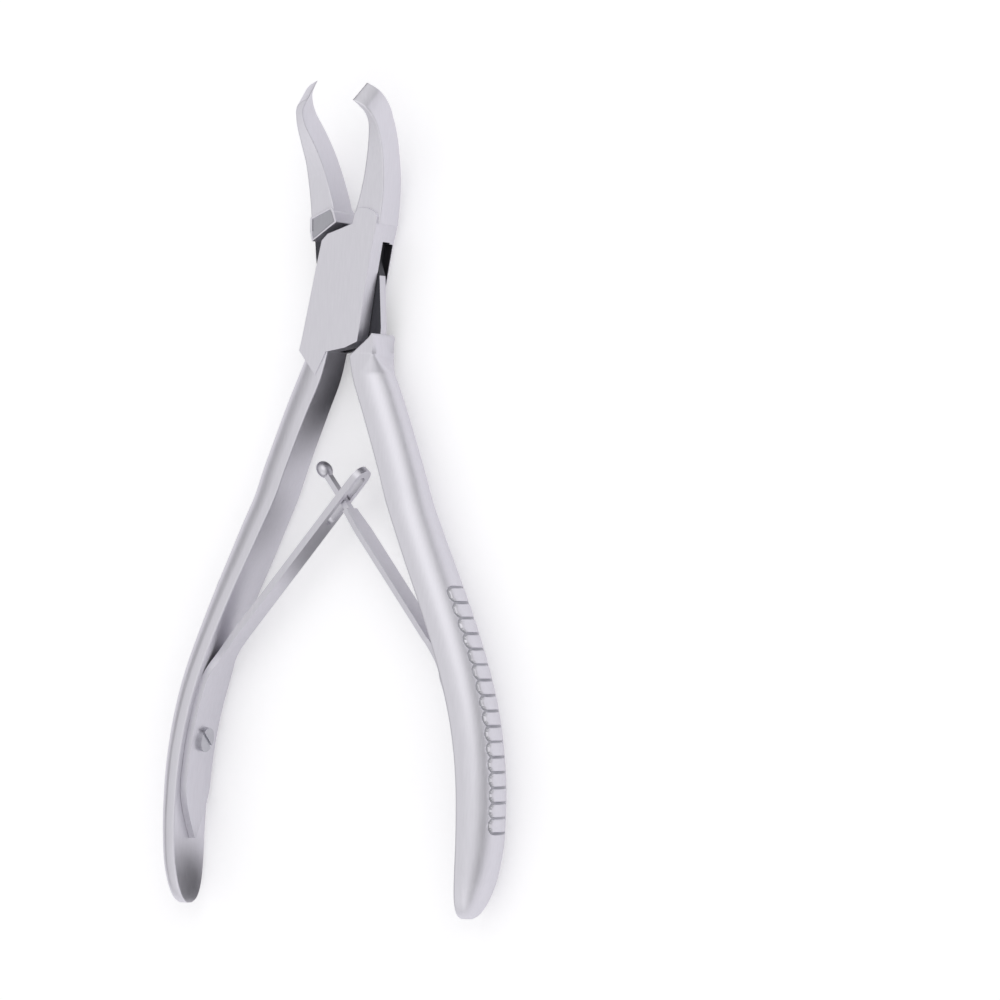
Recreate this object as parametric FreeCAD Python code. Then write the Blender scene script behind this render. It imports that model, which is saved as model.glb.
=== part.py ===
"""Bone rongeur with a box lock and two interlocking leaf springs, in millimetres.

The drawing frame has the lock pin on the Z axis, the jaws toward +Y, the jaws
opening along X and the jaws curving up toward +Z. The mid-plane of the box lock
is z = 0 while drawing, and its slot lies a little behind it. The last step moves
everything so that the bottom centre of the whole object is the origin. The jaws
are drawn open, as the spring holds them, and each half swings CLOSE_HALF degrees
about the pin to close them.
"""
import math
import os
import FreeCAD
import Part

# Overall layout
CLOSE_HALF = 7.9
BOX_THICKNESS = 8.5
SLOT_THICKNESS = 2.6
TONGUE_THICKNESS = 2.44
SLOT_MIDDLE_Z = -1.25
PIN_RADIUS = 2.0
PIN_RUNNING_GAP = 0.04

# Box lock outlines, x and y from the pin
BOX_OUTLINE = [(-4.35, 8.0), (-3.1, 9.3), (1.95, 11.25), (2.35, 13.3), (3.3, 14.3), (5.0, 14.2), (6.4, 13.6),
               (7.15, 12.7), (6.9, 10.2), (6.35, 7.8), (5.25, 0.0), (4.3, -8.5), (4.0, -10.6), (1.5, -11.8),
               (-2.5, -12.7), (-4.6, -17.2), (-8.15, -12.6), (-7.6, -10.0), (-5.5, 1.8)]
SLOT_OUTLINE = [(1.9, 10.6), (6.8, 7.8), (12.0, 7.8), (12.0, -14.0), (-2.4, -14.0), (-2.4, -12.7),
                (-1.95, -10.7), (-6.8, -7.8), (-12.0, -7.8), (-12.0, 14.0), (1.6, 14.0)]
RELIEF_OUTLINE = [(4.9, 7.8), (12.0, 7.8), (12.0, -2.0), (3.9, -2.0)]
RELIEF_FRONT_Z = -2.4
RELIEF_REAR_Z = -3.85
TONGUE_OUTLINE = [(-5.9, 10.4), (-1.75, 11.7), (-1.5, 10.6), (3.4, 8.9), (4.4, 6.2), (5.9, 1.9), (6.65, -7.8),
                  (6.5, -12.0), (3.6, -14.0), (2.3, -13.0), (1.4, -10.7), (-4.2, -8.9), (-5.6, -6.5),
                  (-6.6, 0.0), (-7.3, 2.4), (-7.7, 5.0), (-8.05, 8.2), (-7.6, 9.2)]
COLLAR_OUTLINE = [(-6.95, 12.2), (-2.7, 14.3), (-1.95, 13.3), (-1.4, 11.45), (-6.4, 7.75), (-6.9, 9.6)]
SHOULDER_OUTLINE = [(2.35, -13.3), (6.45, -9.65), (7.0, -9.0), (7.55, -9.6), (7.9, -15.0),
                    (5.3, -17.4), (3.3, -16.6)]
SHOULDER_CHAMFER = 0.6
COLLAR_CHAMFER = 0.35

# Jaws: curved sideways along an arc, drawn closed, then swung open
JAW_BASE_Y = 13.4
JAW_OVERLAP = 1.2
JAW_ARC_RADIUS = 29.1
JAW_BASE_WIDTH = 7.4
JAW_TIP_WIDTH = 4.7
JAW_STATIONS = [
    # angle along the arc in degrees, inner x, outer x of the left jaw, outer x of the right jaw
    (0.0, 0.25, 5.25, 5.72),
    (12.0, 0.98, 5.10, 5.55),
    (22.0, 1.55, 4.82, 5.27),
    (30.0, 2.10, 4.70, 5.10),
    (36.0, 2.50, 4.56, 4.85),
    (40.0, 2.58, 4.38, 4.42),
    (44.0, 2.18, 3.86, 3.62),
    (47.0, 1.28, 3.00, 2.68),
    (50.0, 0.03, 0.28, 0.28),
]
BITE_SHIFT = 0.80
BITE_SKEW = 0.37
BITE_SHIFT_FROM = 36.0

# Handles: half-round bars with a flat inner face, stations down from the box
HANDLE_STATIONS = [
    # y, x of the flat inner face, width, depth of the left handle, depth of the right handle
    (-17.7, 3.42, 8.6, 6.6, 6.8),
    (-23.3, 5.6, 8.9, 6.6, 6.95),
    (-29.0, 7.75, 9.1, 6.5, 7.0),
    (-34.7, 9.8, 9.35, 6.5, 7.05),
    (-40.0, 11.6, 9.6, 6.4, 7.1),
    (-45.5, 13.95, 10.1, 6.4, 7.15),
    (-51.3, 16.5, 10.6, 6.2, 7.25),
    (-57.0, 19.1, 11.0, 5.9, 7.25),
    (-63.0, 21.65, 11.35, 5.6, 7.25),
    (-68.8, 23.95, 11.6, 5.4, 7.15),
    (-74.5, 25.9, 11.85, 5.25, 7.05),
    (-80.2, 27.45, 12.0, 5.0, 6.9),
    (-86.0, 28.55, 12.1, 4.8, 6.75),
    (-91.5, 29.2, 12.2, 4.65, 6.65),
    (-97.0, 29.5, 12.2, 4.5, 6.5),
    (-102.7, 29.6, 12.0, 4.3, 6.2),
    (-108.4, 29.4, 11.2, 4.05, 5.4),
    (-112.2, 29.1, 9.4, 3.7, 4.4),
    (-114.4, 28.9, 7.0, 3.3, 3.5),
    (-115.5, 28.85, 4.6, 2.8, 2.7),
    (-116.0, 28.95, 2.2, 2.2, 1.8),
]
DEPTH_COLUMN = {"left": 3, "right": 4}
LEFT_END_EXTRA = 1.1
END_STARTS_Y = -102.7
LEFT_HANDLE_TOP = (-11.2, 1.9, 8.3, 5.4)
RIGHT_HANDLE_TOP = (-13.4, 2.4, 8.3, 5.9)
HANDLE_SIDE = 1.6
ARC_POINTS = 9

# Finger serrations along the outer face of each handle
GROOVE_COUNT = 17
GROOVE_FIRST_Y = -55.2
GROOVE_LAST_Y = -99.9
GROOVE_RADIUS = 0.62
GROOVE_DEPTH = 0.42

# Leaf springs
ROOT_Y = -68.9
SLOTTED_STANDOFF = 1.45
TONGUE_STANDOFF = 0.9
ARM_LEAN = 38.2
SLOTTED_THICKNESS = 1.3
SLOTTED_WIDTH = 5.2
TONGUE_LEAF_THICKNESS = 1.0
TONGUE_LEAF_WIDTH = 5.6
SLOTTED_ARM_LENGTH = 44.3
SLOT_END_WALL = 1.7
SLOT_LENGTH = 11.4
SLOT_WIDTH = 2.6
SHOULDER_AT = 34.5
NECK_WIDTH = 1.9
PADDLE_AT = 43.7
PADDLE_RADIUS = 1.75
PADDLE_THICKNESS = 2.7
FOOT_END_Y = -104.9
SLOTTED_FOOT_WIDTH = 9.2
TONGUE_FOOT_WIDTH = 7.6
FOOT_WIDENS_OVER = 8.0
FOOT_TAPER = 11.0
FOOT_TIP = 0.3

# Spring screws
SCREW_Y = -86.0
SCREW_TILT = 9.0
SCREW_HEAD_RADIUS = 2.3
SCREW_HEAD_HEIGHT = 0.8
SCREW_SHANK_RADIUS = 1.15
SCREW_HOLE_RADIUS = 1.2
SCREW_DEPTH = 2.9
SCREW_TIP_GAP = 0.3
SCREW_SLOT_WIDTH = 0.55
SCREW_SLOT_DEPTH = 0.4
SCREW_SLOT_TURN = -35.0


def vec(x, y, z=0.0):
    return FreeCAD.Vector(x, y, z)


def slab(outline, thickness, middle=0.0):
    """A flat plate of the outline, centred on the mid-plane or at another height."""
    points = [vec(x, y, middle - thickness / 2) for x, y in outline]
    wire = Part.makePolygon(points + [points[0]])
    return Part.Face(wire).extrude(vec(0, 0, thickness))


def swing(shape, degrees):
    """The shape turned about the pin."""
    turned = shape.copy()
    turned.rotate(vec(0, 0), vec(0, 0, 1), degrees)
    return turned


def mirrored(shape):
    return shape.mirror(vec(0, 0), vec(1, 0))


def between(stations, y, column):
    """The value of one column at height y, straight between two stations."""
    for upper, lower in zip(stations, stations[1:]):
        if lower[0] <= y <= upper[0]:
            share = (upper[0] - y) / (upper[0] - lower[0])
            return upper[column] + share * (lower[column] - upper[column])
    return stations[0][column] if y > stations[0][0] else stations[-1][column]


def handle_section(y, face_x, width, depth):
    """One D-shaped section: flat inner face, short sides, rounded back."""
    side = min(HANDLE_SIDE, depth * 0.4)
    half = width / 2
    crown = []
    for i in range(ARC_POINTS):
        angle = math.pi / 2 - math.pi * i / (ARC_POINTS - 1)
        crown.append(vec(face_x + side + (depth - side) * math.cos(angle), y, half * math.sin(angle)))
    curve = Part.BSplineCurve()
    curve.interpolate(crown)
    low = vec(face_x, y, -half)
    high = vec(face_x, y, half)
    edges = [
        Part.LineSegment(low, high).toShape(),
        Part.LineSegment(high, crown[0]).toShape(),
        curve.toShape(),
        Part.LineSegment(crown[-1], low).toShape(),
    ]
    return Part.Wire(edges)


def handle_bar(top, side_name, end_extra):
    """A handle on the +X side, from the box down to its rounded end."""
    depth_column = DEPTH_COLUMN[side_name]
    sections = [handle_section(*top)]
    last_y = HANDLE_STATIONS[-1][0]
    for station in HANDLE_STATIONS:
        share = max(0.0, (END_STARTS_Y - station[0]) / (END_STARTS_Y - last_y))
        sections.append(handle_section(station[0] - end_extra * share, station[1], station[2],
                                       station[depth_column]))
    return Part.makeLoft(sections, True, False)


def grooves(side_name):
    """The cross grooves in the back of a handle on the +X side."""
    depth_column = DEPTH_COLUMN[side_name]
    cutters = []
    for i in range(GROOVE_COUNT):
        y = GROOVE_FIRST_Y + (GROOVE_LAST_Y - GROOVE_FIRST_Y) * i / (GROOVE_COUNT - 1)
        crown = between(HANDLE_STATIONS, y, 1) + between(HANDLE_STATIONS, y, depth_column)
        x = crown + GROOVE_RADIUS - GROOVE_DEPTH
        half = between(HANDLE_STATIONS, y, 2)
        cutters.append(Part.makeCylinder(GROOVE_RADIUS, 2 * half, vec(x, y, -half), vec(0, 0, 1)))
    return Part.makeCompound(cutters)


def jaw_section(angle, inner, outer, side_sign):
    """One four-cornered section square to the jaw's sideways arc.

    Toward the tip the corners move to +X on both jaws, the rear ones further than the front ones, so
    that the two edges meet off centre and a little askew.
    """
    share = angle / JAW_STATIONS[-1][0]
    half = (JAW_BASE_WIDTH + (JAW_TIP_WIDTH - JAW_BASE_WIDTH) * share) / 2
    turn = math.radians(angle)
    ramp = max(0.0, (angle - BITE_SHIFT_FROM) / (JAW_STATIONS[-1][0] - BITE_SHIFT_FROM))
    corners = []
    for x, side in ((inner, 1), (outer, 1), (outer, -1), (inner, -1)):
        radius = JAW_ARC_RADIUS - side * half
        moved = side_sign * ramp * (BITE_SHIFT - side * BITE_SKEW)
        corners.append(vec(x + moved, JAW_BASE_Y + radius * math.sin(turn),
                           JAW_ARC_RADIUS - radius * math.cos(turn)))
    return Part.makePolygon(corners + [corners[0]])


def jaw_closed(side_sign):
    """A jaw in its closed place, drawn on the +X side and hooked in to a straight cutting edge."""
    outer_column = 3 if side_sign > 0 else 2
    sections = []
    for station in JAW_STATIONS:
        sections.append(jaw_section(station[0], station[1], station[outer_column], side_sign))
    blade = Part.makeLoft(sections, True, False)
    inner, outer = JAW_STATIONS[0][1], JAW_STATIONS[0][outer_column]
    root = Part.makeBox(outer - inner, JAW_OVERLAP, JAW_BASE_WIDTH,
                        vec(inner, JAW_BASE_Y - JAW_OVERLAP, -JAW_BASE_WIDTH / 2))
    return blade.fuse(root)


def chamfer_long_edges(shape, size, pick):
    edges = [edge for edge in shape.Edges if pick(edge)]
    return shape.makeChamfer(size, edges) if edges else shape


def shoulder_block():
    """The full-thickness shoulder of the tongue half, its outer edges bevelled."""
    block = slab(SHOULDER_OUTLINE, BOX_THICKNESS)

    def outer_edge(edge):
        mid = edge.BoundBox.Center
        return abs(abs(mid.z) - BOX_THICKNESS / 2) < 1e-6 and mid.x > 7.1 and mid.y > SHOULDER_OUTLINE[4][1]

    return chamfer_long_edges(block, SHOULDER_CHAMFER, outer_edge)


def collar_block():
    """The full-thickness collar under the left jaw, with a bevelled rim."""
    block = slab(COLLAR_OUTLINE, BOX_THICKNESS)

    def rim(edge):
        mid = edge.BoundBox.Center
        return abs(abs(mid.z) - BOX_THICKNESS / 2) < 1e-6

    return chamfer_long_edges(block, COLLAR_CHAMFER, rim)


def square_to_face(shape, side):
    """The shape turned about the screw's seat so that it stands square to the sloping handle face."""
    face = between(HANDLE_STATIONS, SCREW_Y, 1)
    turned = shape.copy()
    turned.rotate(vec(side * face, SCREW_Y, 0), vec(0, 0, 1), side * SCREW_TILT)
    return turned


def screw_hole(side):
    """The cutter for a screw hole in a handle and its leaf."""
    face = between(HANDLE_STATIONS, SCREW_Y, 1)
    start = vec(side * (face - SCREW_DEPTH), SCREW_Y, 0)
    hole = Part.makeCylinder(SCREW_HOLE_RADIUS, 2 * SCREW_DEPTH + SCREW_TIP_GAP, start, vec(side, 0, 0))
    return square_to_face(hole, side)


def screw_seat(side, thickness):
    """The cutter that levels a leaf under its screw head."""
    seat = between(HANDLE_STATIONS, SCREW_Y, 1) - thickness
    start = vec(side * seat, SCREW_Y, 0)
    recess = Part.makeCylinder(SCREW_HEAD_RADIUS + 0.1, SCREW_DEPTH, start, vec(-side, 0, 0))
    return square_to_face(recess, side)


def through_hole(radius):
    """The cutter for the pin's hole through the whole lock."""
    length = 2 * BOX_THICKNESS
    return Part.makeCylinder(radius, length, vec(0, 0, -length / 2), vec(0, 0, 1))


def rear_relief():
    """The cutter that widens the slot's right mouth toward the rear face."""
    return slab(RELIEF_OUTLINE, RELIEF_FRONT_Z - RELIEF_REAR_Z, (RELIEF_FRONT_Z + RELIEF_REAR_Z) / 2)


def box_half():
    """Left handle, slotted box and right jaw, one forging."""
    slot = slab(SLOT_OUTLINE, SLOT_THICKNESS, SLOT_MIDDLE_Z)
    box = slab(BOX_OUTLINE, BOX_THICKNESS).cut([slot, rear_relief()])
    handle = mirrored(handle_bar(LEFT_HANDLE_TOP, "left", LEFT_END_EXTRA).cut(grooves("left")))
    jaw = swing(jaw_closed(1), -CLOSE_HALF)
    half = box.fuse([handle, jaw])
    pin_hole = through_hole(PIN_RADIUS)
    return half.cut([pin_hole, screw_hole(-1)]).removeSplitter()


def tongue_half():
    """Right handle, tongue through the box and left jaw, one forging."""
    tongue = slab(TONGUE_OUTLINE, TONGUE_THICKNESS, SLOT_MIDDLE_Z)
    handle = handle_bar(RIGHT_HANDLE_TOP, "right", 0.0).cut(grooves("right"))
    jaw = swing(mirrored(jaw_closed(-1)), CLOSE_HALF)
    half = tongue.fuse([collar_block(), shoulder_block(), handle, jaw])
    pin_hole = through_hole(PIN_RADIUS + PIN_RUNNING_GAP)
    return half.cut([pin_hole, screw_hole(1)]).removeSplitter()


def lock_pin():
    """The pin of the box lock, flush with both faces of the box."""
    return Part.makeCylinder(PIN_RADIUS, BOX_THICKNESS, vec(0, 0, -BOX_THICKNESS / 2), vec(0, 0, 1))


def leaf_foot(thickness, width, foot_width):
    """The clamped foot of a leaf on the +X handle, lying on the flat inner face."""
    ys = [ROOT_Y - 1.2]
    while ys[-1] - 2.0 > FOOT_END_Y:
        ys.append(ys[-1] - 2.0)
    ys.append(FOOT_END_Y)
    face = [(between(HANDLE_STATIONS, y, 1) - 0.02, y) for y in ys]
    surface = [(x - thickness, y) for x, y in face]
    outline = face + surface[::-1]
    strip = slab(outline, foot_width)
    half = foot_width / 2
    flare = half - width / 2
    plan = [(ROOT_Y, width / 2), (ROOT_Y - 0.2 * FOOT_WIDENS_OVER, width / 2 + 0.25 * flare),
            (ROOT_Y - 0.55 * FOOT_WIDENS_OVER, width / 2 + 0.8 * flare), (ROOT_Y - FOOT_WIDENS_OVER, half),
            (FOOT_END_Y + FOOT_TAPER, half), (FOOT_END_Y + 0.75 * FOOT_TAPER, 0.92 * half),
            (FOOT_END_Y + 0.5 * FOOT_TAPER, 0.68 * half), (FOOT_END_Y - 0.01, FOOT_TIP)]
    points = [vec(0, y, z) for y, z in plan] + [vec(0, y, -z) for y, z in plan[::-1]]
    mask = Part.Face(Part.makePolygon(points + [points[0]])).extrude(vec(2 * face[-1][0], 0, 0))
    return strip.common(mask)


def slotted_arm_flat():
    """The slotted leaf's free arm, laid along +Y from its root at the origin."""
    half = SLOTTED_WIDTH / 2
    t = SLOTTED_THICKNESS
    bar = Part.makeBox(t, SLOTTED_ARM_LENGTH - half, SLOTTED_WIDTH, vec(-t / 2, 0, -half))
    nose = Part.makeCylinder(half, t, vec(-t / 2, SLOTTED_ARM_LENGTH - half, 0), vec(1, 0, 0))
    top = SLOTTED_ARM_LENGTH - SLOT_END_WALL - SLOT_WIDTH / 2
    bottom = top - (SLOT_LENGTH - SLOT_WIDTH)
    window = Part.makeBox(t * 3, top - bottom, SLOT_WIDTH, vec(-t * 1.5, bottom, -SLOT_WIDTH / 2))
    ends = []
    for y in (bottom, top):
        ends.append(Part.makeCylinder(SLOT_WIDTH / 2, t * 3, vec(-t * 1.5, y, 0), vec(1, 0, 0)))
    return bar.fuse(nose).cut([window] + ends).removeSplitter()


def tongue_arm_flat():
    """The tongue leaf's free arm with its thick round paddle, laid along +Y from its root at the origin."""
    t = TONGUE_LEAF_THICKNESS
    bar = Part.makeBox(t, SHOULDER_AT, TONGUE_LEAF_WIDTH, vec(-t / 2, 0, -TONGUE_LEAF_WIDTH / 2))
    neck = Part.makeBox(t, PADDLE_AT, NECK_WIDTH, vec(-t / 2, 0, -NECK_WIDTH / 2))
    paddle = Part.makeCylinder(PADDLE_RADIUS, t, vec(-t / 2, PADDLE_AT, 0), vec(1, 0, 0))
    rise = (PADDLE_THICKNESS - t) / 2
    domes = []
    for side in (1, -1):
        domes.append(Part.makeCone(PADDLE_RADIUS, PADDLE_RADIUS / 2, rise, vec(side * t / 2, PADDLE_AT, 0),
                                   vec(side, 0, 0)))
    return bar.fuse([neck, paddle] + domes).removeSplitter()


def root_x(standoff):
    """The distance from the middle to the root of a free arm, off the handle's face."""
    return between(HANDLE_STATIONS, ROOT_Y, 1) - standoff


def placed_arm(flat, side, standoff):
    """A free arm leaned over and set at its root; side -1 is the left handle."""
    arm = flat.copy()
    arm.rotate(vec(0, 0), vec(0, 0, 1), side * ARM_LEAN)
    arm.translate(vec(side * root_x(standoff), ROOT_Y, 0))
    return arm


def screw(side, thickness):
    """A slotted screw through a leaf into its handle."""
    face = between(HANDLE_STATIONS, SCREW_Y, 1)
    seat = face - thickness
    outward = vec(-side, 0, 0)
    head = Part.makeCylinder(SCREW_HEAD_RADIUS, SCREW_HEAD_HEIGHT, vec(side * seat, SCREW_Y, 0), outward)
    shank = Part.makeCylinder(SCREW_SHANK_RADIUS, thickness + SCREW_DEPTH,
                              vec(side * seat, SCREW_Y, 0), vec(side, 0, 0))
    slot_x = side * (seat - SCREW_HEAD_HEIGHT + SCREW_SLOT_DEPTH / 2)
    slot = Part.makeBox(SCREW_SLOT_DEPTH + 0.02, SCREW_SLOT_WIDTH, 2 * SCREW_HEAD_RADIUS + 1,
                        vec(slot_x - SCREW_SLOT_DEPTH / 2 - 0.01, SCREW_Y - SCREW_SLOT_WIDTH / 2,
                            -SCREW_HEAD_RADIUS - 0.5))
    slot.rotate(vec(0, SCREW_Y, 0), vec(1, 0, 0), SCREW_SLOT_TURN)
    return square_to_face(head.fuse(shank).cut(slot).removeSplitter(), side)


def build():
    pieces = {
        "box_half": box_half(),
        "tongue_half": tongue_half(),
        "lock_pin": lock_pin(),
        "slotted_spring_foot": mirrored(leaf_foot(SLOTTED_THICKNESS, SLOTTED_WIDTH, SLOTTED_FOOT_WIDTH)).cut(
            [screw_hole(-1), screw_seat(-1, SLOTTED_THICKNESS)]),
        "slotted_spring_arm": placed_arm(slotted_arm_flat(), -1, SLOTTED_STANDOFF),
        "tongue_spring_foot": leaf_foot(TONGUE_LEAF_THICKNESS, TONGUE_LEAF_WIDTH, TONGUE_FOOT_WIDTH).cut(
            [screw_hole(1), screw_seat(1, TONGUE_LEAF_THICKNESS)]),
        "tongue_spring_arm": placed_arm(tongue_arm_flat(), 1, TONGUE_STANDOFF),
        "slotted_spring_screw": screw(-1, SLOTTED_THICKNESS),
        "tongue_spring_screw": screw(1, TONGUE_LEAF_THICKNESS),
    }
    whole = Part.makeCompound(list(pieces.values())).BoundBox
    shift = vec(-(whole.XMin + whole.XMax) / 2, -(whole.YMin + whole.YMax) / 2, -whole.ZMin)
    os.makedirs("parts", exist_ok=True)
    for name, shape in pieces.items():
        shape.translate(shift)
        shape.exportStep("parts/" + name + ".step")
    print("pin axis", round(shift.x, 4), round(shift.y, 4), "mid-plane", round(shift.z, 4))
    print("roots", round(shift.x - root_x(SLOTTED_STANDOFF), 4), round(shift.x + root_x(TONGUE_STANDOFF), 4),
          round(shift.y + ROOT_Y, 4))
    print("size", round(whole.XLength, 2), round(whole.YLength, 2), round(whole.ZLength, 2))
    for name, shape in pieces.items():
        print(name, len(shape.Solids), shape.isValid(), round(shape.Volume, 1))


build()
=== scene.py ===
"""Bone rongeur lying on a pale table, seen at the photo's angle.

Shapes are drawn in millimetres from the lock pin's centre, as in the CAD model, and at() places
them in the shared frame in metres.
"""
import math

import bmesh
import bpy
from mathutils import Matrix, Vector


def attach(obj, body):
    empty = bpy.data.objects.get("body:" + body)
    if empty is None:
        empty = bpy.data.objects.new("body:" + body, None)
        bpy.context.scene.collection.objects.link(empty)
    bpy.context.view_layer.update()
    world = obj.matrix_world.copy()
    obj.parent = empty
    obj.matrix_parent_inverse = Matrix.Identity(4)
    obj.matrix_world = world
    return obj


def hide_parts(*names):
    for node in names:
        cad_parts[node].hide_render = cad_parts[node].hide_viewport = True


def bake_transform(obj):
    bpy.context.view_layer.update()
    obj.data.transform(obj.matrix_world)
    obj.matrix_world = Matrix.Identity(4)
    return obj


MM = 0.001
PIN = Vector((-1.0225, 39.9035, 6.1187))

# Camera, read off the photo
VIEW_TILT = math.radians(26.6)
AXIS_LEAN = math.radians(2.42)
LENS = 200.0
SENSOR = 36.0
VIEW_END = 10.0
MM_PER_PICTURE = 186.2
PIVOT_PIXEL = (351.0, 285.0)
PICTURE = 1000.0

# Table, with dark oval patches painted into the colour that only the steel sees: painted reflections that lay
# shade on the steel; a patch fades between two shares of its radii
PAINTED_SHADE_PATCHES = [
    # centre, radii, how dark in the middle
    ((-1.5, -20.0), (7.5, 20.0), 1.0),
    ((-4.0, -52.0), (9.0, 11.0), 0.6),
    ((-23.5, -113.5), (7.0, 9.0), 1.0),
]
PAINTED_PATCH_FADE = (0.25, 1.25)
PAINTED_PATCH_COLOUR = (0.05, 0.05, 0.055, 1.0)
# The table's greyer colour in the steel is a painted reflection; its glow whitens the table for the camera
# and is painted light in the steel clear of the patches
TABLE_PAINTED_REFLECTION = (0.80, 0.79, 0.82, 1.0)
TABLE_GLOW_AND_PAINTED_SHEEN = 0.25
TABLE_SIZE = 6.0
TABLE_DROP = 0.0002
TABLE_GREY = (0.95, 0.95, 0.95, 1.0)
TABLE_WHITE = (0.98, 0.98, 0.98, 1.0)
TABLE_ROUGHNESS = 0.9
CLOUD_SCALE = 30.0

# Studio sky and key lamp
SKY_COLOUR = (0.985, 0.98, 1.0, 1.0)
SKY_HORIZON = 0.22
SKY_OVERHEAD = 0.82
SKY_OVERHEAD_FROM = 0.85
SKY_HANDLE_END = 0.45
SKY_HANDLE_END_SPAN = (-0.3, -1.0)
KEY_PLACE = (0.45, 0.75, 0.8)
KEY_SIZE = (1.3, 1.3)
KEY_POWER = 2.4

# Steel: light and dark colour of the scratches, and roughness
SATIN_STEEL = ((0.82, 0.81, 0.85), (0.73, 0.72, 0.76), 0.42)
SPRING_STEEL = ((0.75, 0.74, 0.78), (0.65, 0.64, 0.68), 0.34)
# Near-black steel, painted shade for the slot, its mouth and the tongue hidden in it
SLOT_PAINTED_SHADE = ((0.10, 0.10, 0.11), (0.06, 0.06, 0.07), 0.5)
SCREW_STEEL = ((0.60, 0.60, 0.63), (0.48, 0.48, 0.51), 0.32)
# Darker steel, painted shade in the collar's sunk panel and at the bottom of the pad grooves
SUNK_PAINTED_SHADE = ((0.52, 0.52, 0.55), (0.42, 0.42, 0.45), 0.45)
SCRATCH_SCALE = (2600.0, 260.0, 2600.0)
SCRATCH_DETAIL = 3.0
ROUGHNESS_SPREAD = 0.06
SCRATCH_BUMP = 0.05
SCRATCH_DEPTH = 0.0001

# Rounded edges, and the angles from which an edge is rounded
BEVEL_SEGMENTS = 3
BEVEL_DEGREES = 30.0
COLLAR_BEVEL_DEGREES = 20.0
SCREW_BEVEL_DEGREES = 50.0

# Drawn corners: their middle point and the end of the flat beside them, as shares of the corner's radius
CORNER_KNEE = 0.3
CORNER_RUN = 1.6

# The angle in degrees from which an edge of each piece looks crisp
CRISP = {"left_handle": 20.0, "right_handle": 32.0, "jaw": 50.0, "lock": 35.0, "collar": 25.0,
         "leaf": 35.0, "paddle": 60.0}

# Box lock, x and y from the pin
BOX_THICKNESS = 8.5
SLOT_THICKNESS = 2.6
TONGUE_THICKNESS = 2.44
SLOT_MIDDLE_Z = -1.25
PIN_RADIUS = 2.0
BOX_OUTLINE = [(-4.35, 8.0), (-3.1, 9.3), (1.95, 11.25), (2.35, 13.3), (3.3, 14.3), (5.0, 14.2), (6.4, 13.6),
               (7.15, 12.7), (6.9, 10.2), (6.35, 7.8), (5.25, 0.0), (4.3, -8.5), (4.0, -10.6), (1.5, -11.8),
               (-2.5, -12.7), (-4.6, -17.2), (-8.15, -12.6), (-7.6, -10.0), (-5.5, 1.8)]
SLOT_OUTLINE = [(2.7, 10.14), (6.8, 7.8), (12.0, 7.8), (12.0, -14.0), (-1.95, -14.0), (-1.95, -10.7),
                (-6.8, -7.8), (-12.0, -7.8), (-12.0, 14.0), (2.7, 14.0)]
RELIEF_OUTLINE = [(4.9, 7.8), (12.0, 7.8), (12.0, -2.0), (3.9, -2.0)]
RELIEF_FRONT_Z = -2.4
RELIEF_REAR_Z = -3.85
TONGUE_OUTLINE = [(-5.9, 10.4), (-1.75, 11.7), (-1.5, 10.6), (3.4, 8.9), (4.4, 6.2), (5.9, 1.9), (6.65, -7.8),
                  (6.5, -12.0), (3.6, -14.0), (2.3, -13.0), (1.4, -10.7), (-4.2, -8.9), (-5.6, -6.5),
                  (-6.6, 0.0), (-7.3, 2.4), (-7.7, 5.0), (-8.05, 8.2), (-7.6, 9.2)]
# Above this the tongue is painted dark as shade
TONGUE_SHOWS_BELOW_Y = 2.0
COLLAR_OUTLINE = [(-6.95, 12.2), (-2.7, 14.3), (-1.95, 13.3), (-1.4, 11.45), (-6.4, 7.75), (-6.9, 9.6)]
COLLAR_RIM = 0.5
COLLAR_WALL = 0.12
COLLAR_SINK = 0.35
BLOCK_HALF = BOX_THICKNESS / 2
EDGE_BEVEL = 0.22
TONGUE_BEVEL = 0.1
COLLAR_BEVEL = 0.12
BORE_GAP = 0.003
TONGUE_BORE_GAP = 0.05
HOLE_MARGIN = 0.3
SLOT_MARGIN = 0.01

# Jaws, drawn closed and then swung open about the pin
CLOSE_HALF = math.radians(7.9)
JAW_BASE_Y = 13.4
JAW_OVERLAP = 1.2
JAW_ARC_RADIUS = 29.1
JAW_BASE_WIDTH = 7.4
JAW_TIP_WIDTH = 4.7
JAW_EDGE_ROUND = 0.16
JAW_STATIONS = [
    # angle along the arc in degrees, inner x, outer x of the left jaw, outer x of the right jaw
    (0.0, 0.25, 5.25, 5.72),
    (12.0, 0.98, 5.10, 5.55),
    (22.0, 1.55, 4.82, 5.27),
    (30.0, 2.10, 4.70, 5.10),
    (36.0, 2.50, 4.44, 4.85),
    (40.0, 2.58, 4.18, 4.42),
    (44.0, 2.18, 3.66, 3.62),
    (46.0, 1.65, 3.24, 2.99),
    (47.5, 1.08, 2.72, 2.40),
    (49.0, 0.50, 1.55, 1.30),
    (50.0, 0.03, 0.28, 0.28),
]
BITE_SHIFT = 0.80
BITE_SKEW = 0.37
BITE_SHIFT_FROM = 36.0
JAW_STEPS = 90

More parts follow.
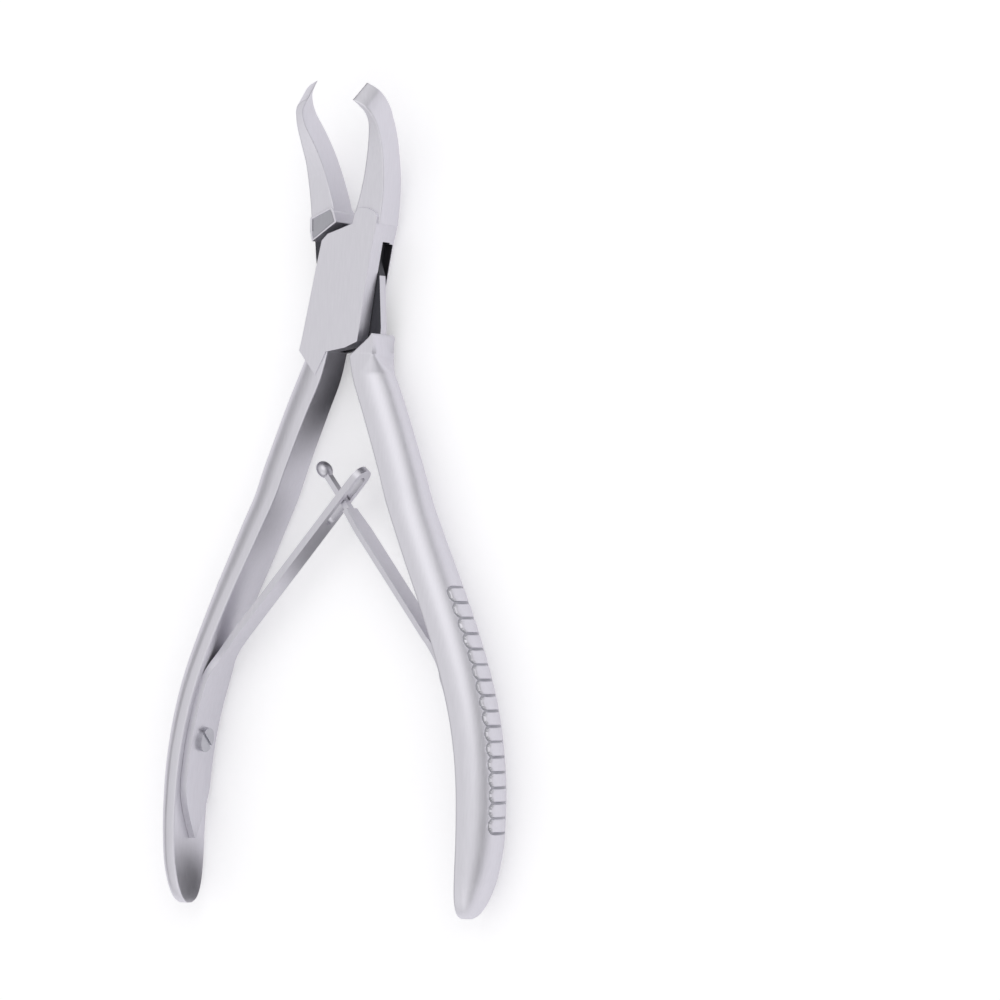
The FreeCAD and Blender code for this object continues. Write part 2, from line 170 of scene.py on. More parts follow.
# Handles, stations down from the box
HANDLE_STATIONS = [
    # y, x of the flat inner face, width, depth of the left handle, depth of the right handle
    (-17.7, 3.42, 8.6, 6.6, 6.8),
    (-23.3, 5.6, 8.9, 6.6, 6.95),
    (-29.0, 7.75, 9.1, 6.5, 7.0),
    (-34.7, 9.8, 9.35, 6.5, 7.05),
    (-40.0, 11.6, 9.6, 6.4, 7.1),
    (-45.5, 13.95, 10.1, 6.4, 7.15),
    (-51.3, 16.5, 10.6, 6.2, 7.25),
    (-57.0, 19.1, 11.0, 5.9, 7.25),
    (-63.0, 21.65, 11.35, 5.6, 7.25),
    (-68.8, 23.95, 11.6, 5.4, 7.15),
    (-74.5, 25.9, 11.85, 5.25, 7.05),
    (-80.2, 27.45, 12.0, 5.0, 6.9),
    (-86.0, 28.55, 12.1, 4.8, 6.75),
    (-91.5, 29.2, 12.2, 4.65, 6.65),
    (-97.0, 29.5, 12.2, 4.5, 6.5),
    (-102.7, 29.6, 12.0, 4.3, 6.2),
    (-108.4, 29.4, 11.2, 4.05, 5.4),
    (-112.2, 29.1, 9.4, 3.7, 4.4),
    (-114.4, 28.9, 7.0, 3.3, 3.5),
    (-115.5, 28.85, 4.6, 2.8, 2.7),
    (-116.0, 28.95, 2.2, 2.2, 1.8),
]
LEFT_HANDLE_TOP = [(-11.2, 1.9, 8.3, 5.4, 5.4)]
SHOULDER_TOP = [
    # the right handle's shoulder, with the same five columns
    (-9.0, 6.95, 8.5, 0.15, 0.15),
    (-9.3, 6.75, 8.5, 0.7, 0.7),
    (-9.65, 6.45, 8.5, 1.15, 1.15),
    (-13.3, 2.35, 8.5, 5.5, 5.5),
]
SHOULDER_CHAMFER_SHARE = 0.19
ROUND_FROM_Y = -12.9
ROUND_TO_Y = -16.2
LEFT_TOP_SLIM = 0.6
LEFT_SLIM_UNTIL_Y = -25.0
LEFT_CREASE = 0.15
LEFT_DEPTH_COLUMN = 3
RIGHT_DEPTH_COLUMN = 4
LEFT_END_EXTRA = 1.1
END_STARTS_Y = -102.7
HANDLE_SIDE = 1.6
HANDLE_EDGE_ROUND = 0.28
CROWN_POINTS = 81
SHOULDER_STEP = 0.15
PAD_STEP = 0.11
LONGEST_STEP = 0.7
END_STEP = 0.12
END_STEP_GROWTH = 0.25

# Finger pads in the back of each handle
PAD_COUNT = 16
PAD_FIRST_Y = -55.2
PAD_LAST_Y = -99.9
PAD_HALF_WIDTH = 3.3
PAD_GROOVE_WIDTH = 0.62
PAD_GROOVE_DEPTH = 0.36
PAD_CORNER_SHARE = 0.45
# Groove depth from which the crown gets painted shade
PAD_PAINTED_SHADE_FROM = 0.2

# Leaf springs
ROOT_Y = -68.9
BEND_REACH = 5.0
BEND_STEPS = 24
FOOT_STEP = 0.5
FOOT_STRAIGHT_BELOW = 6.0
FOOT_LIFT = 0.03
ARM_STEP = 0.25
SLOTTED_STANDOFF = 1.45
TONGUE_STANDOFF = 0.9
ARM_LEAN = math.radians(38.2)
SLOTTED_THICKNESS = 1.3
SLOTTED_WIDTH = 5.2
SLOTTED_ARM_LENGTH = 44.3
LEAF_SLOT_LENGTH = 11.4
LEAF_SLOT_END_WALL = 1.7
LEAF_SLOT_WIDTH = 2.6
LEAF_SLOT_STEPS = 16
LEAF_SLOT_REACH = 3.0
TONGUE_LEAF_THICKNESS = 1.0
TONGUE_LEAF_WIDTH = 5.6
NECK_AT = 34.5
NECK_TAPER = 5.0
NECK_SHOULDER_WIDTH = 4.2
NECK_WIDTH = 1.9
PADDLE_AT = 43.7
PADDLE_RADIUS = 1.75
PADDLE_THICKNESS = 2.7
FOOT_END_Y = -104.9
FOOT_HALF_WIDTHS = [
    # y, half of the foot's width
    (-68.9, 2.6),
    (-70.5, 3.0),
    (-73.3, 4.2),
    (-76.9, 4.6),
    (-93.9, 4.6),
    (-96.65, 4.25),
    (-99.4, 3.2),
    (-102.2, 1.75),
    (-104.9, 0.25),
]
TONGUE_FOOT_HALF = 3.8
LEAF_BEVEL = 0.1
SCREW_BEVEL = 0.08


def at(x, y, z):
    """A point in millimetres from the pin, as metres in the shared frame."""
    return (Vector((x, y, z)) + PIN) * MM


def smooth_value(stations, key, column):
    """A column's value on a smooth curve through the stations, which rise or fall in their first column."""
    last = len(stations) - 1
    way = 1.0 if stations[-1][0] > stations[0][0] else -1.0
    i = 0
    while i < last - 1 and (key - stations[i + 1][0]) * way > 0:
        i += 1
    a, b = stations[i], stations[i + 1]
    before = stations[max(i - 1, 0)]
    after = stations[min(i + 2, last)]
    span = b[0] - a[0]
    slope_a = (b[column] - before[column]) / (b[0] - before[0]) * span
    slope_b = (after[column] - a[column]) / (after[0] - a[0]) * span
    t = min(max((key - a[0]) / span, 0.0), 1.0)
    return (
        a[column] * (2 * t ** 3 - 3 * t ** 2 + 1)
        + slope_a * (t ** 3 - 2 * t ** 2 + t)
        + b[column] * (3 * t ** 2 - 2 * t ** 3)
        + slope_b * (t ** 3 - t ** 2)
    )


def straight_value(stations, key, column):
    """A column's value on straight lines between falling stations."""
    for upper, lower in zip(stations, stations[1:]):
        if key >= lower[0]:
            share = min(max((upper[0] - key) / (upper[0] - lower[0]), 0.0), 1.0)
            return upper[column] + share * (lower[column] - upper[column])
    return stations[-1][column]


def new_object(name, points, faces):
    """A mesh of the points, with its faces turned outward."""
    mesh = bpy.data.meshes.new(name)
    mesh.from_pydata([at(*p) for p in points], [], faces)
    obj = bpy.data.objects.new(name, mesh)
    bpy.context.collection.objects.link(obj)
    shape = bmesh.new()
    shape.from_mesh(mesh)
    bmesh.ops.recalc_face_normals(shape, faces=shape.faces)
    shape.to_mesh(mesh)
    shape.free()
    return obj


def shade(obj, sharp_degrees):
    """Smooth faces, with every edge sharper than the angle kept crisp."""
    shape = bmesh.new()
    shape.from_mesh(obj.data)
    limit = math.radians(sharp_degrees)
    for face in shape.faces:
        face.smooth = True
    for edge in shape.edges:
        edge.smooth = edge.calc_face_angle(0.0) < limit
    shape.to_mesh(obj.data)
    shape.free()


def bevel(obj, width, degrees=BEVEL_DEGREES):
    """Rounds the edges; flat faces keep a flat look."""
    change = obj.modifiers.new("edge_round", "BEVEL")
    change.width = width * MM
    change.segments = BEVEL_SEGMENTS
    change.limit_method = "ANGLE"
    change.angle_limit = math.radians(degrees)
    change.harden_normals = True


def slab(name, outline, low, high):
    """A flat plate of the outline between two heights."""
    return rings(name, [[(x, y, z) for x, y in outline] for z in (low, high)])


def rings(name, loops):
    """A skin over closed loops of points, with both ends closed."""
    count = len(loops[0])
    points = [p for loop in loops for p in loop]
    faces = [tuple(range(count)), tuple(range(len(points) - count, len(points)))]
    for k in range(len(loops) - 1):
        for i in range(count):
            j = (i + 1) % count
            a, b = k * count, (k + 1) * count
            faces.append((a + i, a + j, b + j, b + i))
    return new_object(name, points, faces)


def cut(obj, cutter):
    """Takes the cutter's shape out of obj."""
    change = obj.modifiers.new("cut", "BOOLEAN")
    change.operation = "DIFFERENCE"
    change.solver = "EXACT"
    change.object = cutter
    bpy.context.view_layer.objects.active = obj
    bpy.ops.object.modifier_apply(modifier=change.name)
    bpy.data.objects.remove(cutter)


def post(name, radius, low, high, steps=64):
    """A round post along the pin's axis."""
    loop = [(radius * math.cos(2 * math.pi * i / steps), radius * math.sin(2 * math.pi * i / steps))
            for i in range(steps)]
    return slab(name, loop, low, high)


def pad_groove(y, z):
    """How deep the outline of the finger pads is pressed into the crown at a place."""
    pitch = (PAD_FIRST_Y - PAD_LAST_Y) / PAD_COUNT
    half = PAD_GROOVE_WIDTH / 2
    if y > PAD_FIRST_Y + half or y < PAD_LAST_Y - half:
        return 0.0
    cell = min(max(math.floor((PAD_FIRST_Y - y) / pitch), 0), PAD_COUNT - 1)
    centre = PAD_FIRST_Y - (cell + 0.5) * pitch
    turn = pitch * PAD_CORNER_SHARE
    dy = abs(y - centre) - (pitch / 2 - turn)
    dz = abs(z) - (PAD_HALF_WIDTH - turn)
    outside = math.hypot(max(dy, 0.0), max(dz, 0.0)) + min(max(dy, dz), 0.0) - turn
    return PAD_GROOVE_DEPTH * max(0.0, 1.0 - (outside / half) ** 2)


def handle_loop(y, face_x, width, depth, side_sign, crease, corner):
    """One loop from the flat inner face round over the crown.

    The corner share is 1 for a D-shaped section; below that it is a block with corners of that share,
    chamfered above ROUND_FROM_Y and rounded further down.
    """
    side = min(HANDLE_SIDE, depth * 0.4)
    half = width / 2
    turn = min(HANDLE_EDGE_ROUND, half * 0.2, side * 0.4)
    run = CORNER_RUN * turn
    knee = CORNER_KNEE * turn
    loop = [(face_x, share * (half - run)) for share in (-1.0, -0.5, 0.0, 0.5, 1.0)]
    loop.append((face_x, half - turn))
    loop.append((face_x + knee, half - knee))
    loop.append((face_x + turn, half))
    loop.append((face_x + run, half))
    start = math.pi / 2 - crease
    reach = depth - side
    for i in range(CROWN_POINTS):
        angle = start - 2 * start * i / (CROWN_POINTS - 1)
        z = half * math.sin(angle) / math.sin(start)
        out = reach * (math.cos(angle) - math.cos(start)) / (1 - math.cos(start))
        out -= pad_groove(y, z) * max(math.cos(angle), 0.0) ** 0.5
        if corner < 1.0:
            along = abs(angle) / start
            flat = y > ROUND_FROM_Y
            across = along if flat else math.sin(angle * (1 if angle > 0 else -1))
            outward = 1 - along if flat else math.cos(angle)
            out = reach * (1 - corner + corner * outward)
            z = math.copysign(half * (1 - corner + corner * across), angle) if along > 1e-6 else 0.0
        loop.append((face_x + side + out, z))
    loop.append((face_x + run, -half))
    loop.append((face_x + turn, -half))
    loop.append((face_x + knee, -half + knee))
    loop.append((face_x, -half + turn))
    return [(side_sign * x, y, z) for x, z in loop]


def handle(name, top, depth_column, end_extra, side_sign, crease):
    """A half-round handle with finger pads pressed into its back."""
    stations = top[-1:] + HANDLE_STATIONS
    last_y = stations[-1][0]
    left = side_sign < 0
    loops = []
    y = top[0][0]
    while y > last_y + 0.04:
        read = straight_value if y > stations[0][0] else smooth_value
        rows = top if y > stations[0][0] else stations
        face_x, width, depth = [read(rows, y, column) for column in (1, 2, depth_column)]
        share = max(0.0, (END_STARTS_Y - y) / (END_STARTS_Y - last_y))
        corner = 1.0
        if left:
            slim = min(max((y - LEFT_SLIM_UNTIL_Y) / (stations[0][0] - LEFT_SLIM_UNTIL_Y), 0.0), 1.0)
            width -= LEFT_TOP_SLIM * slim
        else:
            rise = min(max((y - ROUND_TO_Y) / (ROUND_FROM_Y - ROUND_TO_Y), 0.0), 1.0)
            corner = 1.0 - (1.0 - SHOULDER_CHAMFER_SHARE) * rise
        loops.append(handle_loop(y - end_extra * share, face_x, width, depth, side_sign, crease, corner))
        in_pads = PAD_LAST_Y - 1.0 < y < PAD_FIRST_Y + 1.0
        near_end = max(y - last_y, 0.05)
        step = PAD_STEP if in_pads else min(LONGEST_STEP, END_STEP + END_STEP_GROWTH * near_end)
        y -= SHOULDER_STEP if y > ROUND_TO_Y else step
    end = [smooth_value(stations, last_y, column) for column in (1, 2, depth_column)]
    loops.append(handle_loop(last_y - end_extra, *end, side_sign, crease, 1.0))
    obj = rings(name, loops)
    shade(obj, CRISP[name])
    return obj


def darken_grooves(obj, side_sign, dark):
    """Gives the bottom of the pad grooves the darker steel, painted shade in the grooves."""
    obj.data.materials.append(dark)
    for face in obj.data.polygons:
        middle = face.center / MM - PIN
        on_crown = face.normal.x * side_sign > 0.25
        if on_crown and pad_groove(middle.y, middle.z) > PAD_PAINTED_SHADE_FROM:
            face.material_index = 1


def jaw_loop(angle, swing, side_sign):
    """One four-cornered loop with slightly rounded corners, square to the sideways arc."""
    tip = JAW_STATIONS[-1][0]
    inner = smooth_value(JAW_STATIONS, angle, 1)
    outer = smooth_value(JAW_STATIONS, angle, 3 if side_sign > 0 else 2)
    half = (JAW_BASE_WIDTH + (JAW_TIP_WIDTH - JAW_BASE_WIDTH) * angle / tip) / 2
    ramp = max(0.0, (angle - BITE_SHIFT_FROM) / (tip - BITE_SHIFT_FROM))
    turn = math.radians(angle)
    r = min(JAW_EDGE_ROUND, (outer - inner) * 0.3)
    corners = [(inner, half, 1, -1), (outer, half, -1, -1), (outer, -half, -1, 1), (inner, -half, 1, 1)]
    plan = []
    for x, h, toward_x, toward_h in corners:
        along_x = [(x + toward_x * 2 * r, h), (x + toward_x * r, h)]
        knee = (x + toward_x * CORNER_KNEE * r, h + toward_h * CORNER_KNEE * r)
        along_h = [(x, h + toward_h * r), (x, h + toward_h * 2 * r)]
        if toward_x * toward_h < 0:
            plan += along_h[::-1] + [knee] + along_x[::-1]
        else:
            plan += along_x + [knee] + along_h
    loop = []
    for x, h in plan:
        radius = JAW_ARC_RADIUS - h
        y = JAW_BASE_Y + radius * math.sin(turn)
        z = JAW_ARC_RADIUS - radius * math.cos(turn)
        x = x * side_sign + ramp * (BITE_SHIFT - h / half * BITE_SKEW)
        loop.append((x * math.cos(swing) - y * math.sin(swing), x * math.sin(swing) + y * math.cos(swing), z))
    return loop


def jaw(name, side_sign):
    """A jaw curved toward the viewer and hooked in to its cutting edge."""
    tip = JAW_STATIONS[-1][0]
    swing = -side_sign * CLOSE_HALF
    loops = [jaw_loop(tip * i / JAW_STEPS, swing, side_sign) for i in range(JAW_STEPS + 1)]
    loops.insert(0, [(x, y - JAW_OVERLAP, z) for x, y, z in loops[0]])
    obj = rings(name, loops)
    shade(obj, CRISP["jaw"])
    return obj


def leaf_root(standoff):
    """Where a leaf's arm leaves the handle, as x and y on the right side."""
    return (smooth_value(HANDLE_STATIONS, ROOT_Y, 1) - standoff, ROOT_Y)


def leaf_path(thickness, standoff, arm_length):
    """A leaf's middle line: up the handle's face, round the bend and out along the arm.

    Also gives how far along the arm each of the arm's points lies, by the point's number.
    """
    lean = (math.sin(ARM_LEAN), math.cos(ARM_LEAN))
    root = leaf_root(standoff)
    path = []
    y = FOOT_END_Y
    while y < ROOT_Y - FOOT_STRAIGHT_BELOW:
        path.append((smooth_value(HANDLE_STATIONS, y, 1) - thickness / 2 - FOOT_LIFT, y))
        y += FOOT_STEP
    foot = path[-1]
    before = path[-2]
    joined = (root[0] - lean[0] * BEND_REACH, root[1] + lean[1] * BEND_REACH)
    reach = math.dist(foot, joined)
    step = math.dist(foot, before)
    start_way = ((foot[0] - before[0]) / step * reach, (foot[1] - before[1]) / step * reach)
    end_way = (-lean[0] * reach, lean[1] * reach)
    for i in range(1, BEND_STEPS):
        t = i / BEND_STEPS
        h = (2 * t ** 3 - 3 * t ** 2 + 1, t ** 3 - 2 * t ** 2 + t, 3 * t ** 2 - 2 * t ** 3, t ** 3 - t ** 2)
        path.append(tuple(h[0] * foot[k] + h[1] * start_way[k] + h[2] * joined[k] + h[3] * end_way[k]
                          for k in (0, 1)))
    arm_marks = {}
    even_marks = [BEND_REACH + ARM_STEP * i for i in range(int((arm_length - BEND_REACH) / ARM_STEP))]
    neck_marks = [NECK_AT - 0.01, NECK_AT + 0.01]
    end_marks = [arm_length - 0.12, arm_length - 0.03, arm_length]
    for reached in sorted(set(even_marks + neck_marks + end_marks)):
        arm_marks[len(path)] = reached
        path.append((root[0] - lean[0] * reached, root[1] + lean[1] * reached))
    return path, arm_marks


def leaf(name, side_sign, thickness, standoff, arm_length, half_widths, widest):
    """One spring leaf from its pointed foot, along the handle's face and out along its free arm."""
    path, arm_marks = leaf_path(thickness, standoff, arm_length)
    loops = []
    for i, (x, y) in enumerate(path):
        ahead = path[min(i + 1, len(path) - 1)]
        behind = path[max(i - 1, 0)]
        length = math.dist(ahead, behind)
        across = ((ahead[1] - behind[1]) / length, -(ahead[0] - behind[0]) / length)
        if i in arm_marks:
            half = half_widths(arm_marks[i])
        else:
            half = min(smooth_value(FOOT_HALF_WIDTHS, y, 1), widest)
        near = (x - across[0] * thickness / 2, y - across[1] * thickness / 2)
        far = (x + across[0] * thickness / 2, y + across[1] * thickness / 2)
        loops.append([(side_sign * near[0], near[1], -half), (side_sign * near[0], near[1], half),
                      (side_sign * far[0], far[1], half), (side_sign * far[0], far[1], -half)])
    return rings(name, loops)


def slotted_half_width(along):
    """Half the width of the slotted leaf's arm, which has a round end."""
    half = SLOTTED_WIDTH / 2
    past = along - (SLOTTED_ARM_LENGTH - half)
    if past > 0:
        return max(math.sqrt(max(half ** 2 - past ** 2, 0.0)), 0.15)
    return half


def tongue_half_width(along):
    """Half the width of the tongue leaf's arm, which tapers and goes on as a narrow neck."""
    full = TONGUE_LEAF_WIDTH / 2
    if along < NECK_AT:
        share = max(0.0, (along - (NECK_AT - NECK_TAPER)) / NECK_TAPER)
        return full + (NECK_SHOULDER_WIDTH / 2 - full) * share
    return NECK_WIDTH / 2


def slotted_leaf():
    """The leaf on the left handle, with the slot that takes the tongue."""
    widest = max(half for y, half in FOOT_HALF_WIDTHS)
    obj = leaf("slotted_leaf", -1, SLOTTED_THICKNESS, SLOTTED_STANDOFF, SLOTTED_ARM_LENGTH,
               slotted_half_width, widest)
    root = leaf_root(SLOTTED_STANDOFF)
    end_radius = LEAF_SLOT_WIDTH / 2
    top = SLOTTED_ARM_LENGTH - LEAF_SLOT_END_WALL - end_radius
    bottom = top - (LEAF_SLOT_LENGTH - LEAF_SLOT_WIDTH)
    outline = []
    for i in range(LEAF_SLOT_STEPS + 1):
        angle = math.pi * i / LEAF_SLOT_STEPS
        outline.append((top + end_radius * math.sin(angle), end_radius * math.cos(angle)))
    for i in range(LEAF_SLOT_STEPS + 1):
        angle = math.pi * i / LEAF_SLOT_STEPS
        outline.append((bottom - end_radius * math.sin(angle), -end_radius * math.cos(angle)))
    loops = []
    for off in (-LEAF_SLOT_REACH, LEAF_SLOT_REACH):
        loop = []
        for along, z in outline:
            x = -(root[0] - math.sin(ARM_LEAN) * along) + off * math.cos(ARM_LEAN)
            y = root[1] + math.cos(ARM_LEAN) * along - off * math.sin(ARM_LEAN)
            loop.append((x, y, z))
        loops.append(loop)
    cut(obj, rings("slot_cutter", loops))
    return obj


def tongue_leaf():
    """The leaf on the right handle, ending in a neck and a round paddle."""
    return leaf("tongue_leaf", 1, TONGUE_LEAF_THICKNESS, TONGUE_STANDOFF, PADDLE_AT, tongue_half_width,
                TONGUE_FOOT_HALF)


def paddle():
    """The rounded paddle at the end of the tongue leaf."""
    root = leaf_root(TONGUE_STANDOFF)
    place = at(root[0] - math.sin(ARM_LEAN) * PADDLE_AT, root[1] + math.cos(ARM_LEAN) * PADDLE_AT, 0.0)
    shape = bmesh.new()
    bmesh.ops.create_uvsphere(shape, u_segments=48, v_segments=24, radius=MM)
    size = Matrix.Diagonal((PADDLE_THICKNESS / 2, PADDLE_RADIUS, PADDLE_RADIUS, 1.0))
    turn = Matrix.Rotation(ARM_LEAN, 4, "Z")
    shape.transform(Matrix.Translation(place) @ turn @ size)
    mesh = bpy.data.meshes.new("paddle")
    shape.to_mesh(mesh)
    shape.free()
    obj = bpy.data.objects.new("paddle", mesh)
    bpy.context.collection.objects.link(obj)
    shade(obj, CRISP["paddle"])
    return obj


def inside_slot(points):
    """Whether all the points lie in the slot, or in the wider mouth at its rear; such faces get painted
    shade.
    """
    heights = [p.z / MM - PIN.z for p in points]
    sides = [p.x / MM - PIN.x for p in points]
    top = SLOT_MIDDLE_Z + SLOT_THICKNESS / 2 + SLOT_MARGIN
    bottom = SLOT_MIDDLE_Z - SLOT_THICKNESS / 2 - SLOT_MARGIN
    mouth_bottom = RELIEF_REAR_Z - SLOT_MARGIN
    mouth_side = RELIEF_OUTLINE[3][0] - SLOT_MARGIN
    if max(heights) > top:
        return False
    in_mouth = min(heights) > mouth_bottom and min(sides) > mouth_side
    return min(heights) > bottom or in_mouth


def bevel_outline(obj, width):
    """Rounds the outer edges of a lock part and leaves the pin's hole crisp."""
    shape = bmesh.new()
    shape.from_mesh(obj.data)
    weight = shape.edges.layers.float.new("bevel_weight_edge")
    sharp_from = math.radians(BEVEL_DEGREES)
    for edge in shape.edges:
        middle = (edge.verts[0].co + edge.verts[1].co) / 2 / MM - PIN
        outside_hole = math.hypot(middle.x, middle.y) > PIN_RADIUS + HOLE_MARGIN
        if outside_hole and edge.is_convex and edge.calc_face_angle(0.0) > sharp_from:
            edge[weight] = 1.0
    shape.to_mesh(obj.data)
    shape.free()
    bevel(obj, width)
    obj.modifiers["edge_round"].limit_method = "WEIGHT"


def box_lock(outside, slot_shade):
    """The slotted box, open for the tongue and bored for the pin; its slot and mouth are painted dark as
    shade.
    """
    half = SLOT_THICKNESS / 2
    obj = slab("box_lock", BOX_OUTLINE, -BLOCK_HALF, BLOCK_HALF)
    cut(obj, slab("slot_cutter", SLOT_OUTLINE, SLOT_MIDDLE_Z - half, SLOT_MIDDLE_Z + half))
    cut(obj, slab("mouth_cutter", RELIEF_OUTLINE, RELIEF_REAR_Z, RELIEF_FRONT_Z))
    cut(obj, post("pin_cutter", PIN_RADIUS + BORE_GAP, -BLOCK_HALF - 1, BLOCK_HALF + 1))
    shade(obj, CRISP["lock"])
    dress(obj, outside)
    obj.data.materials.append(slot_shade)
    # Faces in the slot and its mouth get painted shade
    for face in obj.data.polygons:
        if inside_slot([obj.data.vertices[i].co for i in face.vertices]):
            face.material_index = 1
    bevel_outline(obj, EDGE_BEVEL)
    return obj


def tongue(outside, slot_shade):
    """The flat tongue that passes through the box, painted dark as shade except where its edge shows at the
    shoulder.
    """
    half = TONGUE_THICKNESS / 2
    obj = slab("lock_tongue", TONGUE_OUTLINE, SLOT_MIDDLE_Z - half, SLOT_MIDDLE_Z + half)
    cut(obj, post("pin_cutter", PIN_RADIUS + TONGUE_BORE_GAP, -BLOCK_HALF, BLOCK_HALF))
    shade(obj, CRISP["lock"])
    dress(obj, outside)
    obj.data.materials.append(slot_shade)
    # The tongue's flat faces and its part above TONGUE_SHOWS_BELOW_Y get painted shade
    for face in obj.data.polygons:
        above = face.center.y / MM - PIN.y > TONGUE_SHOWS_BELOW_Y
        if above or abs(face.normal.z) > 0.5:
            face.material_index = 1
    bevel(obj, TONGUE_BEVEL)
    return obj


def collar(outside, panel):
    """The thick collar under the left jaw, with a bright rim round a sunk panel painted darker as shade."""
    obj = slab("jaw_collar", COLLAR_OUTLINE, -BLOCK_HALF, BLOCK_HALF)
    shape = bmesh.new()
    shape.from_mesh(obj.data)
    flats = [face for face in shape.faces if abs(face.normal.z) > 0.9]
    bmesh.ops.inset_individual(shape, faces=flats, thickness=COLLAR_RIM * MM)
    bmesh.ops.inset_individual(shape, faces=flats, thickness=COLLAR_WALL * MM, depth=-COLLAR_SINK * MM)
    shape.to_mesh(obj.data)
    shape.free()
    shade(obj, CRISP["collar"])
    dress(obj, outside)
    obj.data.materials.append(panel)
    # The sunk panel's faces get painted shade
    for face in obj.data.polygons:
        if abs(face.center.z / MM - PIN.z) < BLOCK_HALF - COLLAR_SINK / 2 and abs(face.normal.z) > 0.3:
            face.material_index = 1
    bevel(obj, COLLAR_BEVEL, COLLAR_BEVEL_DEGREES)
    return obj


def steel(name, light, dark, roughness):
    """Satin steel: fine scratches along the tool in colour and in roughness."""
    material = bpy.data.materials.new(name)
    material.use_nodes = True
    nodes = material.node_tree.nodes
    links = material.node_tree.links
    shader = nodes["Principled BSDF"]
    shader.inputs["Metallic"].default_value = 1.0
    place = nodes.new("ShaderNodeTexCoord")
    stretch = nodes.new("ShaderNodeMapping")
    stretch.inputs["Scale"].default_value = SCRATCH_SCALE
    links.new(place.outputs["Object"], stretch.inputs["Vector"])
    grain = nodes.new("ShaderNodeTexNoise")
    grain.inputs["Scale"].default_value = 1.0
    grain.inputs["Detail"].default_value = SCRATCH_DETAIL
    links.new(stretch.outputs["Vector"], grain.inputs["Vector"])
    colour = nodes.new("ShaderNodeMix")
    colour.data_type = "RGBA"
    colour.inputs["A"].default_value = (*dark, 1.0)
    colour.inputs["B"].default_value = (*light, 1.0)
    links.new(grain.outputs["Fac"], colour.inputs["Factor"])
    links.new(colour.outputs["Result"], shader.inputs["Base Color"])
    rough = nodes.new("ShaderNodeMapRange")
    rough.inputs["To Min"].default_value = roughness - ROUGHNESS_SPREAD
    rough.inputs["To Max"].default_value = roughness + ROUGHNESS_SPREAD
    links.new(grain.outputs["Fac"], rough.inputs["Value"])
    links.new(rough.outputs["Result"], shader.inputs["Roughness"])
    bump = nodes.new("ShaderNodeBump")
    bump.inputs["Strength"].default_value = SCRATCH_BUMP
    bump.inputs["Distance"].default_value = SCRATCH_DEPTH
    links.new(grain.outputs["Fac"], bump.inputs["Height"])
    links.new(bump.outputs["Normal"], shader.inputs["Normal"])
    return material


def dress(obj, material):
    """Gives a piece one material."""
    obj.data.materials.clear()
    obj.data.materials.append(material)


def add_camera():
    """A long lens above the table, tipped toward the right side of the tool."""
    toward = Vector((math.sin(VIEW_TILT), 0.0, math.cos(VIEW_TILT)))
    across = Vector((math.cos(VIEW_TILT), 0.0, -math.sin(VIEW_TILT)))
    along = Vector((0.0, 1.0, 0.0))
    right = across * math.cos(AXIS_LEAN) + along * math.sin(AXIS_LEAN)
    up = along * math.cos(AXIS_LEAN) - across * math.sin(AXIS_LEAN)
    field = MM_PER_PICTURE * MM
    distance = field * LENS / SENSOR
    pixel = field / PICTURE
    aside = right * (PICTURE / 2 - PIVOT_PIXEL[0]) * pixel
    upward = up * (PIVOT_PIXEL[1] - PICTURE / 2) * pixel
    aim = PIN * MM + aside + upward
    data = bpy.data.cameras.new("camera")
    data.lens = LENS
    data.sensor_width = SENSOR
    data.clip_end = VIEW_END
    camera = bpy.data.objects.new("camera", data)
    bpy.context.collection.objects.link(camera)
    place = aim + toward * distance
    camera.matrix_world = Matrix((
        (right.x, up.x, toward.x, place.x),
        (right.y, up.y, toward.y, place.y),
        (right.z, up.z, toward.z, place.z),
        (0.0, 0.0, 0.0, 1.0),
    ))
    bpy.context.scene.camera = camera


def add_painted_patch(nodes, links, place, centre, radii, depth):
    """How far a point of the table lies from a dark oval patch, painted shade that only shows in the steel's
    reflections.
    """
    apart = nodes.new("ShaderNodeVectorMath")
    apart.operation = "SUBTRACT"
    apart.inputs[1].default_value = at(*centre, 0.0)
    links.new(place.outputs["Object"], apart.inputs[0])
    squeeze = nodes.new("ShaderNodeVectorMath")
    squeeze.operation = "MULTIPLY"
    squeeze.inputs[1].default_value = (1 / (radii[0] * MM), 1 / (radii[1] * MM), 0.0)
    links.new(apart.outputs["Vector"], squeeze.inputs[0])
    far = nodes.new("ShaderNodeVectorMath")
    far.operation = "LENGTH"
    links.new(squeeze.outputs["Vector"], far.inputs[0])
    painted_patch = nodes.new("ShaderNodeMapRange")
    painted_patch.interpolation_type = "SMOOTHSTEP"
    painted_patch.inputs["From Min"].default_value = PAINTED_PATCH_FADE[0]
    painted_patch.inputs["From Max"].default_value = PAINTED_PATCH_FADE[1]
    painted_patch.inputs["To Min"].default_value = 1.0 - depth
    links.new(far.outputs["Value"], painted_patch.inputs["Value"])
    return painted_patch


def clear_of_painted_patches(nodes, links, place):
    """A node that is 1 where the table is clear of every painted patch, and falls toward each patch's middle.
    """
    painted_patches = [add_painted_patch(nodes, links, place, *painted_patch) for painted_patch in PAINTED_SHADE_PATCHES]
    clear = painted_patches[0]
    for painted_patch in painted_patches[1:]:
        both = nodes.new("ShaderNodeMath")
        both.operation = "MULTIPLY"
        links.new(clear.outputs[0], both.inputs[0])
        links.new(painted_patch.outputs["Result"], both.inputs[1])
        clear = both
    return clear


